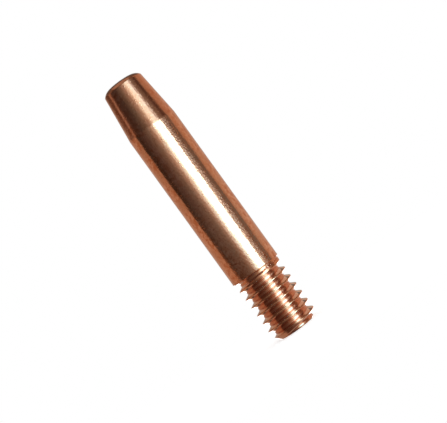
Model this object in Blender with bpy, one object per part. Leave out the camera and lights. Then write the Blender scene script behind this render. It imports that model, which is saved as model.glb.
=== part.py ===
# Welding contact tip: one turned copper piece with a threaded tail.
# It stands on its threaded end, nose up, and is drawn in metres about the Z axis.

import math

import bmesh
import bpy

# Turned body
body_diameter = 0.0079
body_length = 0.02575
shoulder_break = 0.00012

# Tapered nose
cone_length = 0.00729
cone_tip_diameter = 0.00638
nose_edge_radius = 0.00175
nose_edge_sweep = math.radians(54.0)

# Threaded tail, a right-hand single-start V thread
thread_length = 0.0103
thread_diameter = 0.0075
pitch = 0.001411
crest_flat = 0.00016
root_flat = 0.00036
flank_angle = math.radians(30.0)
end_chamfer_angle = math.radians(45.0)
end_chamfer_undercut = 0.0003

# Thread run-out below the shoulder
runout_land = 0.00002
runout_angle = math.radians(150.0)
cutter_clearance = 0.0001
weld_distance = 0.000001

# Wire bore
bore_diameter = 0.0014
nose_mouth_break = 0.00015
rear_mouth_diameter = 0.0030
rear_funnel_angle = math.radians(30.0)

# Facets
turned_steps = 64
thread_steps = 48
nose_edge_steps = 6

# Copper finish
copper_colour = (0.72, 0.33, 0.19, 1.0)
copper_roughness = 0.25

body_radius = body_diameter / 2
cone_tip_radius = cone_tip_diameter / 2
thread_radius = thread_diameter / 2
bore_radius = bore_diameter / 2
rear_mouth_radius = rear_mouth_diameter / 2

thread_depth = (pitch - crest_flat - root_flat) / 2 / math.tan(flank_angle)
root_radius = thread_radius - thread_depth
end_face_radius = root_radius - end_chamfer_undercut
chamfer_height = (thread_radius - end_face_radius) / math.tan(end_chamfer_angle)

cutter_radius = thread_radius + cutter_clearance
lifted_radius = thread_radius + cutter_clearance / 2

shoulder_z = thread_length
cone_base_z = shoulder_z + body_length
cone_tip_z = cone_base_z + cone_length
nose_face_z = cone_tip_z + nose_edge_radius * (1 - math.cos(nose_edge_sweep))


def clear_scene():
    for item in list(bpy.data.objects):
        bpy.data.objects.remove(item, do_unlink=True)


def nose_edge():
    """Points of the rounded nose edge, from the cone up to the flat face."""
    centre_r = cone_tip_radius - nose_edge_radius * math.sin(nose_edge_sweep)
    centre_z = nose_face_z - nose_edge_radius
    points = []
    for step in range(nose_edge_steps + 1):
        angle = nose_edge_sweep * (1 - step / nose_edge_steps)
        radius = centre_r + nose_edge_radius * math.sin(angle)
        height = centre_z + nose_edge_radius * math.cos(angle)
        points.append((radius, height))
    return points


def blank_outline():
    """Radius and height of every corner of the turned blank, as a closed loop."""
    funnel_depth = (rear_mouth_radius - bore_radius) / math.tan(rear_funnel_angle)
    outside = [
        (rear_mouth_radius, 0.0),
        (end_face_radius, 0.0),
        (thread_radius, chamfer_height),
        (thread_radius, shoulder_z),
        (body_radius - shoulder_break, shoulder_z),
        (body_radius, shoulder_z + shoulder_break),
        (body_radius, cone_base_z),
    ]
    inside = [
        (bore_radius + nose_mouth_break, nose_face_z),
        (bore_radius, nose_face_z - nose_mouth_break),
        (bore_radius, funnel_depth),
    ]
    return outside + nose_edge() + inside


def copper():
    material = bpy.data.materials.new("copper")
    material.use_nodes = True
    shader = material.node_tree.nodes["Principled BSDF"]
    shader.inputs["Base Color"].default_value = copper_colour
    shader.inputs["Metallic"].default_value = 1.0
    shader.inputs["Roughness"].default_value = copper_roughness
    return material


def object_from(bm, name):
    mesh = bpy.data.meshes.new(name)
    bmesh.ops.recalc_face_normals(bm, faces=bm.faces)
    bm.to_mesh(mesh)
    bm.free()
    item = bpy.data.objects.new(name, mesh)
    bpy.context.scene.collection.objects.link(item)
    return item


def turned_blank():
    """The blank as it leaves the lathe: its outline spun round the axis."""
    bm = bmesh.new()
    corners = [bm.verts.new((radius, 0.0, height)) for radius, height in blank_outline()]
    for first, second in zip(corners, corners[1:] + corners[:1]):
        bm.edges.new((first, second))
    bmesh.ops.spin(
        bm,
        geom=bm.verts[:] + bm.edges[:],
        cent=(0.0, 0.0, 0.0),
        axis=(0.0, 0.0, 1.0),
        angle=math.tau,
        steps=turned_steps,
        use_merge=True,
    )
    bmesh.ops.remove_doubles(bm, verts=bm.verts, dist=1e-7)
    return object_from(bm, "contact_tip")


def half_mouth(inner):
    """Half the groove's width at the cutter's outside, for a root at this radius."""
    return root_flat / 2 + (cutter_radius - inner) * math.tan(flank_angle)


def groove_section(angle, height, inner):
    """The groove's trapezium at one angle: wide outside, narrow at the root."""
    half_root = root_flat / 2
    mouth = half_mouth(inner)
    corners = [(inner, -half_root), (inner, half_root), (cutter_radius, mouth), (cutter_radius, -mouth)]
    return [(r * math.cos(angle), r * math.sin(angle), height + dz) for r, dz in corners]


def thread_cutter():
    """A V groove swept up a right-hand helix, lifting out below the shoulder."""
    runout_start = shoulder_z - runout_land - half_mouth(root_radius)
    runout_end = shoulder_z - runout_land - half_mouth(lifted_radius)
    full_turns = math.ceil(runout_start / pitch) + 1
    first_height = runout_start - full_turns * pitch
    steps = math.ceil((runout_end - first_height) / pitch * thread_steps)
    bm = bmesh.new()
    previous = None
    for step in range(steps + 1):
        angle = runout_angle + math.tau * step / thread_steps
        height = min(first_height + pitch * step / thread_steps, runout_end)
        lift = max(height - runout_start, 0.0) / (runout_end - runout_start)
        inner = root_radius + lift * (lifted_radius - root_radius)
        ring = [bm.verts.new(point) for point in groove_section(angle, height, inner)]
        if previous is None:
            bm.faces.new(ring)
        else:
            for side in range(4):
                other = (side + 1) % 4
                bm.faces.new((previous[side], previous[other], ring[other], ring[side]))
        previous = ring
    bm.faces.new(previous[::-1])
    cutter = object_from(bm, "thread_cutter")
    cutter.hide_render = True
    cutter.display_type = "WIRE"
    return cutter


def main():
    clear_scene()
    tip = turned_blank()
    cut = tip.modifiers.new("thread", "BOOLEAN")
    cut.operation = "DIFFERENCE"
    cut.solver = "EXACT"
    cut.object = thread_cutter()
    weld = tip.modifiers.new("weld", "WELD")
    weld.merge_threshold = weld_distance
    tip.data.materials.append(copper())
    tip.data.shade_smooth()
    tip.data.set_sharp_from_angle(angle=math.radians(25.0))


main()
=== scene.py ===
import bpy
import math
from mathutils import Matrix, Vector


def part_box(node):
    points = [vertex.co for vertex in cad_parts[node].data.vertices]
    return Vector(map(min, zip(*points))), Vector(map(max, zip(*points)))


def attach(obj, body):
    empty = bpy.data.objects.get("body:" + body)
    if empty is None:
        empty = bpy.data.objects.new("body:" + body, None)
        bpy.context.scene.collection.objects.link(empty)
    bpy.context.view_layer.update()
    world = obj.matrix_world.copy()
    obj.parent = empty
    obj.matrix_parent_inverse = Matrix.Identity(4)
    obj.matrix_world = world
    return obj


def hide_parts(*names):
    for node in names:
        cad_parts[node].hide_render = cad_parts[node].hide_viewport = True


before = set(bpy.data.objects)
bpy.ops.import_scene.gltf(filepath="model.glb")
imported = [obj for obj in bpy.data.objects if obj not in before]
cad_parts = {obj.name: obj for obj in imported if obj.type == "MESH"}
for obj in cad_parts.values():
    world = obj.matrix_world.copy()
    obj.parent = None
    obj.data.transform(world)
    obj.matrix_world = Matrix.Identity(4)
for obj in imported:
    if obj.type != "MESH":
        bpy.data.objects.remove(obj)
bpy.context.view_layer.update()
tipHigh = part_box("contact_tip")[1]   # the far corner of its box
mm = 0.001

# the turned shape; its height and widest diameter come from the frame
tipShape = {
    "stepsAround": 240,
    "threadLength": 10.3 * mm,
    "shoulderBreak": 0.12 * mm,      # edge taken off the shoulder's outer corner
    "coneLength": 7.29 * mm,
    "coneTipRadius": 3.19 * mm,
    "noseEdgeRadius": 1.75 * mm,
    "noseEdgeSweep": math.radians(54),
    "noseEdgeSteps": 12,
    "noseMouthBreak": 0.15 * mm,
    "boreRadius": 0.7 * mm,
    "rearMouthRadius": 1.5 * mm,
    "rearFunnelAngle": math.radians(30),
    "edgeSoftness": 0.04 * mm,       # tiny round on every turned corner
    "edgeShare": 0.3,                # the most of a short side that a round may take
    "edgeSteps": 4,
    "gentleTurn": math.radians(5),   # corners that turn less than this stay as they are
    "holdingRing": 1.5,              # where the rings beside a round lie, as a share of its reach
    "weldDistance": 0.001 * mm,
    "crispFrom": math.radians(32),   # edges that turn more than this are shaded crisp
}

# the right-hand V thread
threadShape = {
    "rowsPerTurn": 34,
    "pitch": 1.411 * mm,
    "crestRadius": 3.75 * mm,
    "crestFlat": 0.12 * mm,
    "rootRadius": 2.98 * mm,         # how deep the grooves go, from the axis
    "flankAngle": math.radians(30),
    "cornerRound": 0.05 * mm,        # wear on the crests
    "endChamferAngle": math.radians(45),
    "endUndercut": 0.17 * mm,        # how far the end face lies inside the roots
    "endReach": 0.0001 * mm,         # points this near to an end of the thread lie on it
    "runoutLand": 0.02 * mm,
    "runoutAngle": math.radians(150),
    "runoutRise": 1.1 * mm,          # how far the groove climbs while its floor lifts out
    "cutterStandOut": 0.1 * mm,
}


def coneBaseHeight():
    edgeHeight = tipShape["noseEdgeRadius"] * (1 - math.cos(tipShape["noseEdgeSweep"]))
    return tipHigh.z - edgeHeight - tipShape["coneLength"]


def endFaceRadius():
    return threadShape["rootRadius"] - threadShape["endUndercut"]


def rootFlat():
    # width of the groove's floor, left over from the pitch by the crest and both flanks
    thread = threadShape
    depth = thread["crestRadius"] - thread["rootRadius"]
    return thread["pitch"] - thread["crestFlat"] - 2 * depth * math.tan(thread["flankAngle"])


def halfMouth(inner):
    # half the groove's width at the cutter's outside, for a floor at this radius
    outer = threadShape["crestRadius"] + threadShape["cutterStandOut"]
    return rootFlat() / 2 + (outer - inner) * math.tan(threadShape["flankAngle"])


def tipProfile():
    # radius and height of the turned outline, from the shoulder round to the threaded end
    shape = tipShape
    bodyRadius, top = tipHigh.x, tipHigh.z
    shoulder, coneBase = shape["threadLength"], coneBaseHeight()
    edge, sweep, steps = shape["noseEdgeRadius"], shape["noseEdgeSweep"], shape["noseEdgeSteps"]
    flatRadius = shape["coneTipRadius"] - edge * math.sin(sweep)
    funnelWidth = shape["rearMouthRadius"] - shape["boreRadius"]
    corners = [
        (threadShape["crestRadius"], shoulder),
        (bodyRadius - shape["shoulderBreak"], shoulder),
        (bodyRadius, shoulder + shape["shoulderBreak"]),
        (bodyRadius, coneBase),
        (shape["coneTipRadius"], coneBase + shape["coneLength"]),
    ]
    for step in range(1, steps):
        angle = sweep * (1 - step / steps)
        corners.append((flatRadius + edge * math.sin(angle), top - edge * (1 - math.cos(angle))))
    corners += [
        (flatRadius, top),
        (shape["boreRadius"] + shape["noseMouthBreak"], top),
        (shape["boreRadius"], top - shape["noseMouthBreak"]),
        (shape["boreRadius"], funnelWidth / math.tan(shape["rearFunnelAngle"])),
        (shape["rearMouthRadius"], 0.0),
        (endFaceRadius(), 0.0),
    ]
    return softened(corners)


def softened(corners):
    # each clear corner becomes a short arc, with a ring on either side of it that keeps the
    # long faces there straight in the light
    shape = tipShape
    corners = [Vector(corner) for corner in corners]
    points = [corners[0]]
    for before, here, after in zip(corners, corners[1:], corners[2:]):
        incoming, outgoing = (here - before).normalized(), (after - here).normalized()
        if incoming.angle(outgoing) < shape["gentleTurn"]:
            points.append(here)
            continue
        shortest = min((here - before).length, (after - here).length)
        reach = min(shape["edgeSoftness"], shortest * shape["edgeShare"])
        first, last = here - incoming * reach, here + outgoing * reach
        points.append(here - incoming * reach * shape["holdingRing"])
        for step in range(shape["edgeSteps"] + 1):
            share = step / shape["edgeSteps"]
            points.append(first * (1 - share) ** 2 + here * 2 * share * (1 - share) + last * share ** 2)
        points.append(here + outgoing * reach * shape["holdingRing"])
    points.append(corners[-1])
    return points


class NodeBench:
    # places nodes in a tree and plugs numbers, colours and sockets into them
    def __init__(self, tree):
        self.tree = tree

    def add(self, kind, settings=None, **inputs):
        node = self.tree.nodes.new(kind)
        for key, value in (settings or {}).items():
            setattr(node, key, value)
        for key, value in inputs.items():
            self.plug(node, key.replace("_", " "), value)
        return node

    def plug(self, node, place, value):
        # place is an input's name or its number
        socket = node.inputs[place]
        if isinstance(value, bpy.types.NodeSocket):
            self.tree.links.new(value, socket)
        else:
            socket.default_value = value

    def maths(self, operation, *values):
        node = self.add("ShaderNodeMath", {"operation": operation})
        for place, value in enumerate(values):
            self.plug(node, place, value)
        return node.outputs[0]

    def blend(self, factor, first, second):
        # first where the factor is 0, second where it is 1; a Mix node's colours are inputs 6 and 7
        node = self.add("ShaderNodeMix", {"data_type": "RGBA"})
        for place, value in ((0, factor), (6, first), (7, second)):
            self.plug(node, place, value)
        return node.outputs[2]

    def pick(self, flag, otherwise, chosen):
        # chosen where the flag is 1, otherwise where it is 0
        change = self.maths("SUBTRACT", chosen, otherwise)
        return self.maths("ADD", otherwise, self.maths("MULTIPLY", flag, change))

    def between(self, value, low, high):
        return self.maths("MINIMUM", self.maths("MAXIMUM", value, low), high)

    def rising(self, value, low, high):
        # 0 up to low, 1 from high on, and a smooth rise between them
        smooth = {"interpolation_type": "SMOOTHSTEP"}
        rise = self.add("ShaderNodeMapRange", smooth, Value=value, From_Min=low, From_Max=high)
        return rise.outputs[0]


def gridPlace(bench, rows):
    # column and row of each grid point, from its index; the half keeps whole numbers from rounding down
    index = bench.add("GeometryNodeInputIndex").outputs[0]
    column = bench.maths("FLOOR", bench.maths("DIVIDE", bench.maths("ADD", index, 0.5), rows))
    row = bench.maths("SUBTRACT", index, bench.maths("MULTIPLY", column, rows))
    return column, row


def angleAt(bench, column, stepsAround):
    return bench.maths("DIVIDE", bench.maths("MULTIPLY", column, math.tau), stepsAround)


def aroundAxis(bench, radius, angle, height):
    x = bench.maths("MULTIPLY", radius, bench.maths("COSINE", angle))
    y = bench.maths("MULTIPLY", radius, bench.maths("SINE", angle))
    return bench.add("ShaderNodeCombineXYZ", X=x, Y=y, Z=height).outputs[0]


def tipTree():
    # a geometry node tree that turns the outline and winds the thread
    tree = bpy.data.node_groups.new("turned tip", "GeometryNodeTree")
    face = tree.interface
    face.new_socket("Outline", in_out="INPUT", socket_type="NodeSocketGeometry")
    for name in ("Steps around", "Rows per turn"):
        face.new_socket(name, in_out="INPUT", socket_type="NodeSocketInt")
    for name in (
        "Pitch", "Crest radius", "Root radius", "Root flat", "Flank slope", "Corner round",
        "Shoulder height", "End face radius", "Chamfer slope", "Run-out start", "Run-out end",
        "Run-out angle", "Lifted radius", "Row start", "Row count", "End reach", "Weld distance",
    ):
        face.new_socket(name, in_out="INPUT", socket_type="NodeSocketFloat")
    face.new_socket("Finish", in_out="INPUT", socket_type="NodeSocketMaterial")
    face.new_socket("Tip", in_out="OUTPUT", socket_type="NodeSocketGeometry")
    bench = NodeBench(tree)
    given = tree.nodes.new("NodeGroupInput").outputs
    columns = bench.maths("ADD", given["Steps around"], 1)

    # the thread: a grid whose rows climb with the helix
    threadGrid = bench.add("GeometryNodeMeshGrid", Vertices_X=columns, Vertices_Y=given["Row count"])
    column, row = gridPlace(bench, given["Row count"])
    angle = angleAt(bench, column, given["Steps around"])
    turn = bench.maths("DIVIDE", column, given["Steps around"])
    climb = bench.maths("ADD", bench.maths("DIVIDE", row, given["Rows per turn"]), given["Row start"])
    height = bench.maths("MULTIPLY", bench.maths("ADD", climb, turn), given["Pitch"])
    height = bench.between(height, 0.0, given["Shoulder height"])

    # distance to the nearest groove's centre line, and where that line stands
    startTurn = bench.maths("DIVIDE", given["Run-out start"], given["Pitch"])
    startTurn = bench.maths("SUBTRACT", startTurn, bench.maths("DIVIDE", given["Run-out angle"], math.tau))
    phase = bench.maths("DIVIDE", height, given["Pitch"])
    phase = bench.maths("SUBTRACT", phase, bench.maths("ADD", startTurn, turn))
    whole = bench.maths("ROUND", phase)
    away = bench.maths("MULTIPLY", bench.maths("SUBTRACT", phase, whole), given["Pitch"])
    away = bench.maths("ABSOLUTE", away)
    line = bench.maths("ADD", bench.maths("ADD", whole, startTurn), turn)
    line = bench.maths("MULTIPLY", line, given["Pitch"])

    # the groove's floor lifts out below the shoulder
    span = bench.maths("SUBTRACT", given["Run-out end"], given["Run-out start"])
    lift = bench.maths("DIVIDE", bench.maths("SUBTRACT", line, given["Run-out start"]), span)
    rise = bench.maths("SUBTRACT", given["Lifted radius"], given["Root radius"])
    floor = bench.maths("MULTIPLY", bench.between(lift, 0.0, 1.0), rise)
    floor = bench.maths("ADD", floor, given["Root radius"])
    beyond = bench.maths("SUBTRACT", away, bench.maths("DIVIDE", given["Root flat"], 2.0))
    beyond = bench.maths("SMOOTH_MAX", beyond, 0.0, given["Corner round"])
    flank = bench.maths("ADD", floor, bench.maths("MULTIPLY", beyond, given["Flank slope"]))
    radius = bench.maths("SMOOTH_MIN", flank, given["Crest radius"], given["Corner round"])
    chamfer = bench.maths("MULTIPLY", height, given["Chamfer slope"])
    chamfer = bench.maths("ADD", given["End face radius"], chamfer)
    radius = bench.maths("SMOOTH_MIN", radius, chamfer, given["Corner round"])

    # both ends meet the turned outline exactly
    atEnd = bench.maths("LESS_THAN", height, given["End reach"])
    toShoulder = bench.maths("SUBTRACT", given["Shoulder height"], given["End reach"])
    atShoulder = bench.maths("GREATER_THAN", height, toShoulder)
    radius = bench.pick(atEnd, radius, given["End face radius"])
    radius = bench.pick(atShoulder, radius, given["Crest radius"])
    thread = bench.add(
        "GeometryNodeSetPosition",
        Geometry=threadGrid.outputs["Mesh"],
        Position=aroundAxis(bench, radius, angle, height),
    )

    # the turned surface: every point of the outline carried round the axis
    outline = given["Outline"]
    size = bench.add("GeometryNodeAttributeDomainSize", {"component": "MESH"}, Geometry=outline)
    pointCount = size.outputs["Point Count"]
    turnedGrid = bench.add("GeometryNodeMeshGrid", Vertices_X=columns, Vertices_Y=pointCount)
    column, row = gridPlace(bench, pointCount)
    angle = angleAt(bench, column, given["Steps around"])
    position = bench.add("GeometryNodeInputPosition").outputs[0]
    byPoint = {"data_type": "FLOAT_VECTOR", "domain": "POINT"}
    found = bench.add("GeometryNodeSampleIndex", byPoint, Geometry=outline, Value=position, Index=row)
    split = bench.add("ShaderNodeSeparateXYZ", Vector=found.outputs["Value"]).outputs
    turned = bench.add(
        "GeometryNodeSetPosition",
        Geometry=turnedGrid.outputs["Mesh"],
        Position=aroundAxis(bench, split["X"], angle, split["Z"]),
    )

    joined = bench.add("GeometryNodeJoinGeometry")
    for part in (turned, thread):
        tree.links.new(part.outputs["Geometry"], joined.inputs["Geometry"])
    welded = bench.add(
        "GeometryNodeMergeByDistance",
        Geometry=joined.outputs["Geometry"],
        Distance=given["Weld distance"],
    )
    realised = bench.add("GeometryNodeRealizeInstances", Geometry=welded.outputs["Geometry"])
    finished = bench.add(
        "GeometryNodeSetMaterial",
        Geometry=realised.outputs["Geometry"],
        Material=given["Finish"],
    )
    output = tree.nodes.new("NodeGroupOutput")
    tree.links.new(finished.outputs["Geometry"], output.inputs["Tip"])
    return tree


def treeValues(finish):
    shape, thread = tipShape, threadShape
    runoutStart = shape["threadLength"] - thread["runoutLand"] - halfMouth(thread["rootRadius"])
    startTurn = runoutStart / thread["pitch"] - thread["runoutAngle"] / math.tau
    rowStart = startTurn - math.ceil(startTurn + 1)
    turns = shape["threadLength"] / thread["pitch"] - rowStart
    return {
        "Steps around": shape["stepsAround"],
        "Rows per turn": thread["rowsPerTurn"],
        "Pitch": thread["pitch"],
        "Crest radius": thread["crestRadius"],
        "Root radius": thread["rootRadius"],
        "Root flat": rootFlat(),
        "Flank slope": 1 / math.tan(thread["flankAngle"]),
        "Corner round": thread["cornerRound"],
        "Shoulder height": shape["threadLength"],
        "End face radius": endFaceRadius(),
        "Chamfer slope": 1 / math.tan(thread["endChamferAngle"]),
        "Run-out start": runoutStart,
        "Run-out end": runoutStart + thread["runoutRise"],
        "Run-out angle": thread["runoutAngle"],
        "Lifted radius": thread["crestRadius"] + thread["cutterStandOut"] / 2,
        "Row start": rowStart,
        "Row count": math.ceil(turns * thread["rowsPerTurn"]) + 1.0,
        "End reach": thread["endReach"],
        "Weld distance": shape["weldDistance"],
        "Finish": finish,
    }


def makeTip(finish):
    outline = bpy.data.meshes.new("tip outline")
    points = [(point.x, 0.0, point.y) for point in tipProfile()]
    outline.from_pydata(points, [(k, k + 1) for k in range(len(points) - 1)], [])
    maker = bpy.data.objects.new("tip maker", outline)
    bpy.context.scene.collection.objects.link(maker)
    tree = tipTree()
    nodes = maker.modifiers.new("turned tip", "NODES")
    nodes.node_group = tree
    values = treeValues(finish)
    for item in tree.interface.items_tree:
        if item.in_out == "INPUT" and item.name in values:
            nodes[item.identifier] = values[item.name]
    graph = bpy.context.evaluated_depsgraph_get()
    mesh = bpy.data.meshes.new_from_object(maker.evaluated_get(graph), depsgraph=graph)
    bpy.data.objects.remove(maker)
    mesh.name = "copper_tip"
    mesh.shade_smooth()
    mesh.set_sharp_from_angle(angle=tipShape["crispFrom"])
    tip = bpy.data.objects.new("copper_tip", mesh)
    bpy.context.scene.collection.objects.link(tip)
    print("tip:", len(mesh.vertices), "points,", len(mesh.polygons), "faces")
    return tip


# lengths and heights in millimetres; a rise gives the values where a pattern starts and is full
copperLook = {
    "drawnCopper": (0.785, 0.352, 0.198, 1.0),   # skin of the drawn bar
    "tarnish": (0.56, 0.175, 0.068, 1.0),        # redder patches on its sides
    "stained": (0.64, 0.275, 0.145, 1.0),        # broad dull stains
    "cutCopper": (0.88, 0.68, 0.575, 1.0),       # fresh metal on the thread's flanks
    "rubbedCopper": (0.76, 0.36, 0.19, 1.0),     # on its crests
    "rootShadeCopper": (0.66, 0.25, 0.13, 1.0),       # painted shade in its roots
    "chamferShadeCopper": (0.62, 0.30, 0.18, 1.0),    # painted shade on the down-facing chamfer at its end
    "runoutShadeCopper": (0.66, 0.24, 0.11, 1.0),     # painted shade on upright faces where the thread runs out below the shoulder
    "rootShadeAndCrestWearWidth": 0.14,                         # how far from a root the painted shade, and from a crest the wear, reaches before all metal is fresh
    "rootShadeAndCrestWearShare": 1 / 3,                        # share of that width, nearest to them, that is all painted shade or wear
    "runoutShadeHeight": 1.1,                         # how far below the shoulder the painted shade reaches
    "tiltRise": (0.3, 0.7),                      # how far up or down faces look where the run-out's painted shade fades
    "drawnRoughness": 0.10,
    "cutRoughness": 0.09,
    "patchesPerMm": 1.8,
    "patchesDetail": 5.0,
    "patchesRise": (0.4, 0.62),
    "evenSide": math.radians(15),                # round this side the skin has no patches
    "evenRise": (math.radians(50), math.radians(25)),   # how far off it they are back, and all gone
    "evenTarnish": 0.48,
    "stainsPerMm": 0.4,
    "stainsDetail": 3.0,
    "stainsRise": (0.42, 0.66),
    "specklesPerMm": 3.0,
    "specklesRise": (0.38, 0.62),
    "speckles": 0.36,                            # share of tarnish in the finest speckles
    "grainPerMm": 3.8,
    "grainStretch": 0.45,                        # below 1 draws the grain out along the axis
    "grainHeight": 0.011,
    "scuffedFrom": math.radians(20),             # a strip along one side with fine scuffs
    "scuffedTo": math.radians(41),
    "scuffedEdge": math.radians(5),
    "scuffsPerMm": 4.0,
    "scuffHeight": 0.036,
    "taperShare": 0.3,                           # how much of the scuffs the taper has
    "wavesPerMm": 0.25,
    "waveStretch": 0.4,
    "waveHeight": 0.06,
    "nicksPerMm": 3.0,
    "nickStretch": 2.0,
    "nicksFrom": 0.68,                           # only the noise's peaks above this are nicks
    "nickHeight": 0.05,
    "ringWidth": 0.09,                           # a faint turned line where the taper starts
    "ringDepth": 0.004,
    "threadRelief": 0.3,                         # how much of all these marks the thread has
}


def tipPlaces(bench):
    # where each point lies on the tip, in millimetres and round its axis
    place = bench.add("ShaderNodeTexCoord").outputs
    scaled = bench.add("ShaderNodeVectorMath", {"operation": "SCALE"}, Vector=place["Object"], Scale=1 / mm)
    split = bench.add("ShaderNodeSeparateXYZ", Vector=scaled.outputs[0]).outputs
    flat = bench.add("ShaderNodeCombineXYZ", X=split["X"], Y=split["Y"]).outputs[0]
    radius = bench.add("ShaderNodeVectorMath", {"operation": "LENGTH"}, Vector=flat)
    upward = bench.add("ShaderNodeSeparateXYZ", Vector=place["Normal"]).outputs["Z"]
    return {
        "inMm": scaled.outputs[0],
        "height": split["Z"],
        "radius": radius.outputs["Value"],
        "side": bench.maths("ARCTAN2", split["X"], bench.maths("MULTIPLY", split["Y"], -1.0)),
        "tilt": bench.maths("ABSOLUTE", upward),
        "inThread": bench.maths("LESS_THAN", split["Z"], tipShape["threadLength"] / mm),
    }


def noise(bench, at, perMm, detail=2.0, stretch=1.0):
    mapped = bench.add("ShaderNodeMapping", Vector=at["inMm"], Scale=(1, 1, stretch)).outputs[0]
    return bench.add("ShaderNodeTexNoise", Vector=mapped, Scale=perMm, Detail=detail).outputs["Fac"]


def skinColour(bench, at):
    # the drawn bar's skin, tarnished in patches, with broad stains and fine speckles
    look = copperLook
    offEven = bench.maths("ABSOLUTE", bench.maths("SUBTRACT", at["side"], look["evenSide"]))
    even = bench.rising(offEven, *look["evenRise"])
    patches = noise(bench, at, look["patchesPerMm"], look["patchesDetail"])
    patches = bench.pick(even, bench.rising(patches, *look["patchesRise"]), look["evenTarnish"])
    skin = bench.blend(patches, look["drawnCopper"], look["tarnish"])
    stains = noise(bench, at, look["stainsPerMm"], look["stainsDetail"])
    skin = bench.blend(bench.rising(stains, *look["stainsRise"]), skin, look["stained"])
    speckles = bench.rising(noise(bench, at, look["specklesPerMm"]), *look["specklesRise"])
    return bench.blend(bench.maths("MULTIPLY", speckles, look["speckles"]), skin, look["tarnish"])


def threadColour(bench, at):
    # fresh metal on the flanks and rubbed metal on the crests, with painted shade as a darker copper in the
    # roots, on the chamfer at the end and on upright faces just below the shoulder
    look = copperLook
    width = look["rootShadeAndCrestWearWidth"]
    full = width * look["rootShadeAndCrestWearShare"]
    root, crest = threadShape["rootRadius"] / mm, threadShape["crestRadius"] / mm
    # the roots get a darker copper as painted shade
    offRoot = bench.rising(at["radius"], root + full, root + width)
    cut = bench.blend(offRoot, look["rootShadeCopper"], look["cutCopper"])
    atCrest = bench.rising(at["radius"], crest - width, crest - full)
    cut = bench.blend(atCrest, cut, look["rubbedCopper"])
    slant = bench.maths("SUBTRACT", at["radius"], at["height"])
    endFace = endFaceRadius() / mm
    # the down-facing chamfer at the end gets a darker copper as painted shade
    onChamfer = bench.rising(slant, endFace - full * 2, endFace - full)
    cut = bench.blend(onChamfer, cut, look["chamferShadeCopper"])
    # upright faces just below the shoulder get a darker copper as painted shade; faces that look up or down
    # keep the fresh metal
    runoutFoot = tipShape["threadLength"] / mm - look["runoutShadeHeight"]
    inRunout = bench.maths("GREATER_THAN", at["height"], runoutFoot)
    upright = bench.maths("SUBTRACT", 1.0, bench.rising(at["tilt"], *look["tiltRise"]))
    return bench.blend(bench.maths("MULTIPLY", inRunout, upright), cut, look["runoutShadeCopper"])


def copperRelief(bench, at):
    # height of the fine marks: grain, a scuffed strip, waves, nicks and the line at the taper
    look = copperLook
    coneBase = coneBaseHeight() / mm
    start, end, edge = look["scuffedFrom"], look["scuffedTo"], look["scuffedEdge"]
    scuffed = bench.rising(at["side"], start, start + edge)
    scuffed = bench.maths("MULTIPLY", scuffed, bench.rising(at["side"], end, end - edge))
    onTaper = bench.maths("GREATER_THAN", at["height"], coneBase)
    scuffed = bench.maths("MULTIPLY", scuffed, bench.pick(onTaper, 1.0, look["taperShare"]))
    grain = noise(bench, at, look["grainPerMm"], stretch=look["grainStretch"])
    scuffs = bench.maths("MULTIPLY", noise(bench, at, look["scuffsPerMm"], detail=1.0), scuffed)
    waves = noise(bench, at, look["wavesPerMm"], detail=1.0, stretch=look["waveStretch"])
    nicks = noise(bench, at, look["nicksPerMm"], detail=0.0, stretch=look["nickStretch"])
    nicks = bench.maths("MAXIMUM", bench.maths("SUBTRACT", nicks, look["nicksFrom"]), 0.0)
    fromRing = bench.maths("ABSOLUTE", bench.maths("SUBTRACT", at["height"], coneBase))
    ring = bench.rising(fromRing, 0.0, look["ringWidth"])
    heights = {"scuffHeight": scuffs, "waveHeight": waves, "nickHeight": nicks, "ringDepth": ring}
    relief = bench.maths("MULTIPLY", grain, look["grainHeight"])
    for height, marks in heights.items():
        relief = bench.maths("ADD", relief, bench.maths("MULTIPLY", marks, look[height]))
    return bench.maths("MULTIPLY", relief, bench.pick(at["inThread"], 1.0, look["threadRelief"]))


def copperMaterial():
    # drawn copper bar with a freshly cut thread
    look = copperLook
    material = bpy.data.materials.new("drawn copper")
    material.use_nodes = True
    bench = NodeBench(material.node_tree)
    shader = material.node_tree.nodes["Principled BSDF"]
    shader.inputs["Metallic"].default_value = 1.0
    at = tipPlaces(bench)
    colour = bench.blend(at["inThread"], skinColour(bench, at), threadColour(bench, at))
    roughness = bench.pick(at["inThread"], look["drawnRoughness"], look["cutRoughness"])
    bump = bench.add("ShaderNodeBump", Height=copperRelief(bench, at), Strength=1.0, Distance=mm)
    bench.plug(shader, "Base Color", colour)
    bench.plug(shader, "Roughness", roughness)
    bench.plug(shader, "Normal", bump.outputs[0])
    print("finish:", material.name)
    return material


studio = {
    "pixelsWide": 447,               # width of the photograph
    "sensorWidth": 36.0,
    "viewPixels": 1300,              # how far the camera stands, in photograph pixels
    "pixelSize": 0.1456 * mm,        # size of one photograph pixel at the tip's axis
    "centreRight": 8.4,              # the picture's centre, right of the axis, in pixels
    "centreHeight": 137.5,           # the picture's centre above the threaded end, in pixels
    "roll": math.radians(35.81),     # the photograph shows the nose leaning left
    "clipStart": 0.01,
    "clipEnd": 20,
}


def addCamera():
    data = bpy.data.cameras.new("camera")
    data.sensor_width = studio["sensorWidth"]
    data.lens = studio["sensorWidth"] * studio["viewPixels"] / studio["pixelsWide"]
    data.clip_start = studio["clipStart"]
    data.clip_end = studio["clipEnd"]
    camera = bpy.data.objects.new("camera", data)
    pixels = Vector((studio["centreRight"], -studio["viewPixels"], studio["centreHeight"]))
    camera.location = pixels * studio["pixelSize"]
    roll = studio["roll"]
    right = Vector((math.cos(roll), 0, -math.sin(roll)))
    up = Vector((math.sin(roll), 0, math.cos(roll)))
    back = Vector((0, -1, 0))
    camera.rotation_euler = Matrix((right, up, back)).transposed().to_euler()
    bpy.context.scene.collection.objects.link(camera)
    bpy.context.scene.camera = camera


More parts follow.
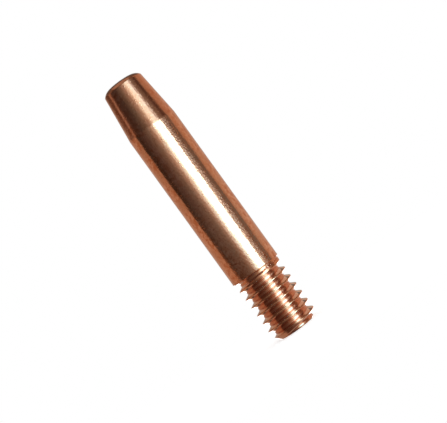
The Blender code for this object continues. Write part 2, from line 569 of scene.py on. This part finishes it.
# what the copper mirrors: red, green and blue light by the angle right of the camera's side
room = {
    "level": [                       # straight ahead of upright surfaces
        (-180, (0.5, 0.4, 0.33)),
        (-150, (0.62, 0.51, 0.42)),
        (-91, (0.52, 0.41, 0.34)),
        (-84, (0.066, 0.055, 0.05)),
        (-72, (0.058, 0.05, 0.05)),
        (-45, (0.125, 0.12, 0.14)),
        (-22, (0.25, 0.29, 0.32)),
        (-11, (0.45, 0.53, 0.6)),
        (-5, (0.6, 0.74, 0.84)),
        (0, (0.95, 1.28, 1.5)),
        (6, (1.2, 2.05, 2.7)),
        (11, (1.55, 2.9, 4.0)),
        (15, (2.6, 5.0, 7.5)),
        (19, (5.0, 8.5, 12.0)),
        (37, (5.0, 8.5, 12.0)),
        (41, (2.8, 5.0, 7.5)),
        (47, (1.35, 2.5, 3.7)),
        (54, (0.88, 1.35, 1.85)),
        (60, (0.62, 0.84, 1.03)),
        (74, (0.22, 0.25, 0.29)),
        (89, (0.22, 0.24, 0.25)),
        (94, (0.5, 0.44, 0.4)),
        (107, (0.7, 0.62, 0.54)),
        (126, (0.67, 0.56, 0.47)),
        (150, (0.68, 0.55, 0.45)),
        (180, (0.5, 0.4, 0.33)),
    ],
    "foot": [                        # just below level, where the body's lower end looks
        (-180, (0.5, 0.4, 0.33)),
        (-150, (0.62, 0.51, 0.42)),
        (-91, (0.56, 0.45, 0.38)),
        (-84, (0.12, 0.11, 0.11)),
        (-72, (0.11, 0.12, 0.135)),
        (-60, (0.165, 0.195, 0.22)),
        (-45, (0.185, 0.205, 0.235)),
        (-22, (0.23, 0.29, 0.34)),
        (-11, (0.38, 0.48, 0.57)),
        (-5, (0.56, 0.72, 0.86)),
        (0, (0.97, 1.5, 2.0)),
        (6, (1.35, 2.8, 4.2)),
        (11, (1.8, 4.1, 6.4)),
        (15, (2.8, 5.8, 8.8)),
        (19, (5.0, 8.5, 12.0)),
        (38, (5.0, 8.5, 12.0)),
        (42, (2.8, 5.0, 7.5)),
        (47, (1.4, 2.7, 4.0)),
        (54, (1.3, 2.4, 3.5)),
        (60, (1.1, 1.9, 2.7)),
        (74, (0.36, 0.47, 0.56)),
        (89, (0.22, 0.29, 0.33)),
        (94, (0.52, 0.5, 0.48)),
        (107, (0.74, 0.77, 0.76)),
        (126, (0.74, 0.67, 0.6)),
        (150, (0.7, 0.58, 0.48)),
        (180, (0.5, 0.4, 0.33)),
    ],
    "raised": [                      # higher up, where the tapered nose looks
        (-180, (0.26, 0.28, 0.28)),
        (-172, (0.3, 0.26, 0.24)),
        (-165, (0.4, 0.24, 0.17)),
        (-150, (0.28, 0.23, 0.2)),
        (-135, (0.13, 0.09, 0.075)),
        (-108, (0.13, 0.075, 0.058)),
        (-100, (0.24, 0.18, 0.16)),
        (-96, (0.46, 0.38, 0.35)),
        (-90, (0.44, 0.36, 0.33)),
        (-86, (0.16, 0.11, 0.1)),
        (-74, (0.075, 0.06, 0.06)),
        (-45, (0.082, 0.082, 0.092)),
        (-22, (0.2, 0.24, 0.26)),
        (0, (0.53, 0.62, 0.7)),
        (11, (1.15, 1.7, 2.05)),
        (20, (1.6, 2.8, 3.8)),
        (37, (1.6, 3.0, 4.5)),
        (42, (0.64, 0.84, 1.1)),
        (50, (0.3, 0.36, 0.42)),
        (58, (0.28, 0.3, 0.32)),
        (74, (0.13, 0.1, 0.1)),
        (84, (0.12, 0.095, 0.09)),
        (92, (0.5, 0.41, 0.36)),
        (115, (0.6, 0.46, 0.38)),
        (145, (0.72, 0.55, 0.45)),
        (165, (0.64, 0.4, 0.28)),
        (172, (0.3, 0.28, 0.26)),
        (180, (0.26, 0.28, 0.28)),
    ],
    "upper": [                       # above that, up to the ceiling
        (-180, (0.16, 0.16, 0.15)),
        (-140, (0.17, 0.13, 0.105)),
        (-110, (0.4, 0.3, 0.24)),
        (-90, (0.5, 0.37, 0.28)),
        (-80, (0.42, 0.28, 0.2)),
        (-73, (0.11, 0.075, 0.06)),
        (-46, (0.11, 0.075, 0.06)),
        (-28, (0.12, 0.09, 0.075)),
        (-7, (0.2, 0.15, 0.12)),
        (5, (0.32, 0.26, 0.22)),
        (15, (0.6, 0.75, 0.75)),
        (26, (1.45, 3.0, 4.2)),
        (42, (1.45, 3.0, 4.2)),
        (50, (0.5, 0.42, 0.36)),
        (66, (0.3, 0.21, 0.16)),
        (90, (0.28, 0.18, 0.125)),
        (97, (0.66, 0.49, 0.39)),
        (120, (0.66, 0.49, 0.39)),
        (145, (0.2, 0.15, 0.12)),
        (180, (0.16, 0.16, 0.15)),
    ],
    "low": [                         # below the horizon, as the thread mirrors it
        (-180, (0.5, 0.4, 0.33)),
        (-90, (0.5, 0.35, 0.26)),
        (-80, (0.42, 0.27, 0.19)),
        (-73, (0.11, 0.07, 0.058)),
        (-53, (0.105, 0.064, 0.053)),
        (-29, (0.137, 0.112, 0.105)),
        (-22, (0.2, 0.175, 0.16)),
        (-4, (0.38, 0.34, 0.3)),
        (4, (0.54, 0.53, 0.48)),
        (13, (1.1, 1.7, 1.9)),
        (17, (1.2, 2.8, 3.6)),
        (24, (1.5, 5.0, 8.5)),
        (40, (1.5, 5.0, 8.5)),
        (43, (1.4, 2.6, 3.3)),
        (46, (1.1, 1.4, 1.6)),
        (50, (0.68, 0.66, 0.6)),
        (58, (0.55, 0.52, 0.48)),
        (66, (0.33, 0.25, 0.2)),
        (79, (0.27, 0.18, 0.13)),
        (90, (0.28, 0.185, 0.13)),
        (97, (0.66, 0.49, 0.39)),
        (150, (0.66, 0.49, 0.39)),
        (180, (0.5, 0.4, 0.33)),
    ],
    "deep": [                        # lower still, which only the thread's flanks mirror
        (-180, (0.5, 0.4, 0.33)),
        (-130, (0.5, 0.36, 0.27)),
        (-106, (0.44, 0.25, 0.155)),
        (-92, (0.35, 0.18, 0.11)),
        (-80, (0.1, 0.05, 0.03)),
        (-64, (0.085, 0.042, 0.026)),
        (-33, (0.108, 0.063, 0.046)),
        (-3, (0.15, 0.075, 0.048)),
        (11, (0.36, 0.25, 0.17)),
        (26, (0.84, 0.97, 0.82)),
        (35, (2.0, 2.7, 3.0)),
        (51, (2.1, 2.9, 3.3)),
        (57, (0.76, 0.8, 0.68)),
        (66, (0.26, 0.135, 0.08)),
        (90, (0.24, 0.115, 0.07)),
        (100, (0.56, 0.35, 0.22)),
        (130, (0.62, 0.46, 0.36)),
        (180, (0.5, 0.4, 0.33)),
    ],
    "ground": [                      # straight down, by the sine to the right
        (-0.5, (0.66, 0.46, 0.34)),
        (-0.45, (0.66, 0.46, 0.34)),
        (-0.39, (0.34, 0.23, 0.19)),
        (-0.33, (0.11, 0.06, 0.042)),
        (-0.2, (0.12, 0.07, 0.055)),
        (-0.1, (0.165, 0.106, 0.093)),
        (0.04, (0.26, 0.18, 0.15)),
        (0.12, (0.36, 0.3, 0.28)),
        (0.17, (0.54, 0.54, 0.5)),
        (0.25, (0.85, 0.93, 0.92)),
        (0.29, (0.85, 0.93, 0.92)),
        (0.35, (0.37, 0.24, 0.18)),
        (0.41, (0.52, 0.37, 0.3)),
        (0.44, (0.73, 0.52, 0.41)),
        (0.5, (0.73, 0.52, 0.41)),
    ],
    "ceiling": (0.18, 0.15, 0.13, 1.0),
    "lean": 0.5,                     # how far the tall light leans left for each degree up
    "footFrom": math.radians(3),     # heights of the changes from one to the next
    "footFull": math.radians(-2.6),
    "raisedFrom": math.radians(4),
    "raisedFull": math.radians(15),
    "ceilingFrom": math.radians(42),
    "ceilingFull": math.radians(52),
    "lowFrom": math.radians(-2.8),
    "lowFull": math.radians(-3.1),
    "upperFrom": math.radians(21),
    "upperFull": math.radians(27),
    "deepFrom": math.radians(-20),
    "deepFull": math.radians(-32),
    "groundFrom": math.radians(-57),
    "groundFull": math.radians(-60),
    "back": (3.0, 3.2, 3.4, 1.0),    # a pale wall far behind, unseen in the photograph
    "backRise": (162 / 360, 170 / 360),          # turned this far from the front, in turns
    "backTopFrom": math.radians(-8),
    "backTopFull": math.radians(-11),
    "backFootFrom": math.radians(-30),
    "backFootFull": math.radians(-26),
    "whereDull": (0.5, 0.5, 0.5, 1.0),           # light on the floor
    "whereShown": (1.0, 1.0, 1.0, 1.0),          # behind the tip, for the camera
}


def lightRamp(bench, place, stops, span=360):
    # light by place, which runs from 0 to 1 over the span round a stop of nought
    ramp = bench.add("ShaderNodeValToRGB", Fac=place)
    elements = ramp.color_ramp.elements
    while len(elements) < len(stops):
        elements.new(0.5)
    for element, (stop, light) in zip(elements, stops):
        element.position = stop / span + 0.5
        element.color = (*light, 1.0)
    return ramp.outputs["Color"]


def addWorld():
    # white for the camera, a soft room with one tall light in what the copper mirrors
    world = bpy.data.worlds.new("studio")
    bpy.context.scene.world = world
    world.use_nodes = True
    tree = world.node_tree
    bench = NodeBench(tree)
    path = bench.add("ShaderNodeLightPath").outputs
    direction = bench.add("ShaderNodeTexCoord").outputs["Generated"]
    split = bench.add("ShaderNodeSeparateXYZ", Vector=direction).outputs
    side = bench.maths("ARCTAN2", split["X"], bench.maths("MULTIPLY", split["Y"], -1.0))
    turn = bench.maths("ADD", bench.maths("DIVIDE", side, math.tau), 0.5)   # 0.5 on the camera's side
    leaning = bench.maths("ADD", turn, bench.maths("MULTIPLY", split["Z"], room["lean"] / math.tau))
    rightward = bench.maths("ADD", split["X"], 0.5)

    def reached(zone):
        # how far the direction has risen, or sunk, into a zone
        start, full = math.sin(room[zone + "From"]), math.sin(room[zone + "Full"])
        return bench.rising(split["Z"], start, full)

    light = lightRamp(bench, leaning, room["level"])
    light = bench.blend(reached("foot"), light, lightRamp(bench, leaning, room["foot"]))
    for zone in ("raised", "upper"):
        light = bench.blend(reached(zone), light, lightRamp(bench, turn, room[zone]))
    light = bench.blend(reached("ceiling"), light, room["ceiling"])
    for zone in ("low", "deep"):
        light = bench.blend(reached(zone), light, lightRamp(bench, turn, room[zone]))
    light = bench.blend(reached("ground"), light, lightRamp(bench, rightward, room["ground"], 1))
    fromFront = bench.maths("ABSOLUTE", bench.maths("SUBTRACT", turn, 0.5))
    wall = bench.rising(fromFront, *room["backRise"])
    for edge in ("backTop", "backFoot"):
        wall = bench.maths("MULTIPLY", wall, reached(edge))
    light = bench.blend(wall, light, room["back"])

    mirrored = bench.maths("MAXIMUM", path["Is Glossy Ray"], path["Is Transmission Ray"])
    light = bench.blend(mirrored, room["whereDull"], light)
    light = bench.blend(path["Is Camera Ray"], light, room["whereShown"])
    tree.links.new(light, tree.nodes["Background"].inputs["Color"])


floorLook = {
    "sides": 96,
    "radius": 40 * mm,
    "colour": (0.80, 0.80, 0.80, 1.0),
    "shownWhite": 0.64,              # added for the camera alone
}


def addFloor():
    radius, sides = floorLook["radius"], floorLook["sides"]
    bpy.ops.mesh.primitive_circle_add(vertices=sides, radius=radius, fill_type="NGON")
    floor = bpy.context.object
    floor.name = "floor"
    material = bpy.data.materials.new("floor")
    material.use_nodes = True
    tree = material.node_tree
    bench = NodeBench(tree)
    tree.nodes.remove(tree.nodes["Principled BSDF"])
    path = bench.add("ShaderNodeLightPath").outputs
    shown = bench.maths("MULTIPLY", path["Is Camera Ray"], floorLook["shownWhite"])
    both = bench.add("ShaderNodeAddShader")
    bench.plug(both, 0, bench.add("ShaderNodeBsdfDiffuse", Color=floorLook["colour"]).outputs[0])
    bench.plug(both, 1, bench.add("ShaderNodeEmission", Strength=shown).outputs[0])
    # the copper mirrors the room below instead of this small disc
    mirrored = bench.maths("MAXIMUM", path["Is Glossy Ray"], path["Is Transmission Ray"])
    surface = bench.add("ShaderNodeMixShader", Fac=mirrored)
    bench.plug(surface, 1, both.outputs[0])
    bench.plug(surface, 2, bench.add("ShaderNodeBsdfTransparent").outputs[0])
    bench.plug(tree.nodes["Material Output"], "Surface", surface.outputs[0])
    floor.data.materials.append(material)


# one wide lamp high up gives the floor its soft shadow
overhead = {
    "place": (0.0, 0.06, 0.45),
    "size": 0.35,
    "watts": 0.12,
}


def addLamp():
    data = bpy.data.lights.new("overhead", "AREA")
    data.size = overhead["size"]
    data.energy = overhead["watts"]
    lamp = bpy.data.objects.new("overhead", data)
    lamp.location = overhead["place"]
    toTip = -Vector(overhead["place"])
    lamp.rotation_euler = toTip.to_track_quat("-Z", "Y").to_euler()
    bpy.context.scene.collection.objects.link(lamp)


tip = makeTip(copperMaterial())
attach(tip, "root")
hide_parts("contact_tip")
addFloor()
addWorld()
addLamp()
addCamera()
bpy.context.scene.view_settings.view_transform = "Standard"
print("studio: camera, floor, world and lamp placed")
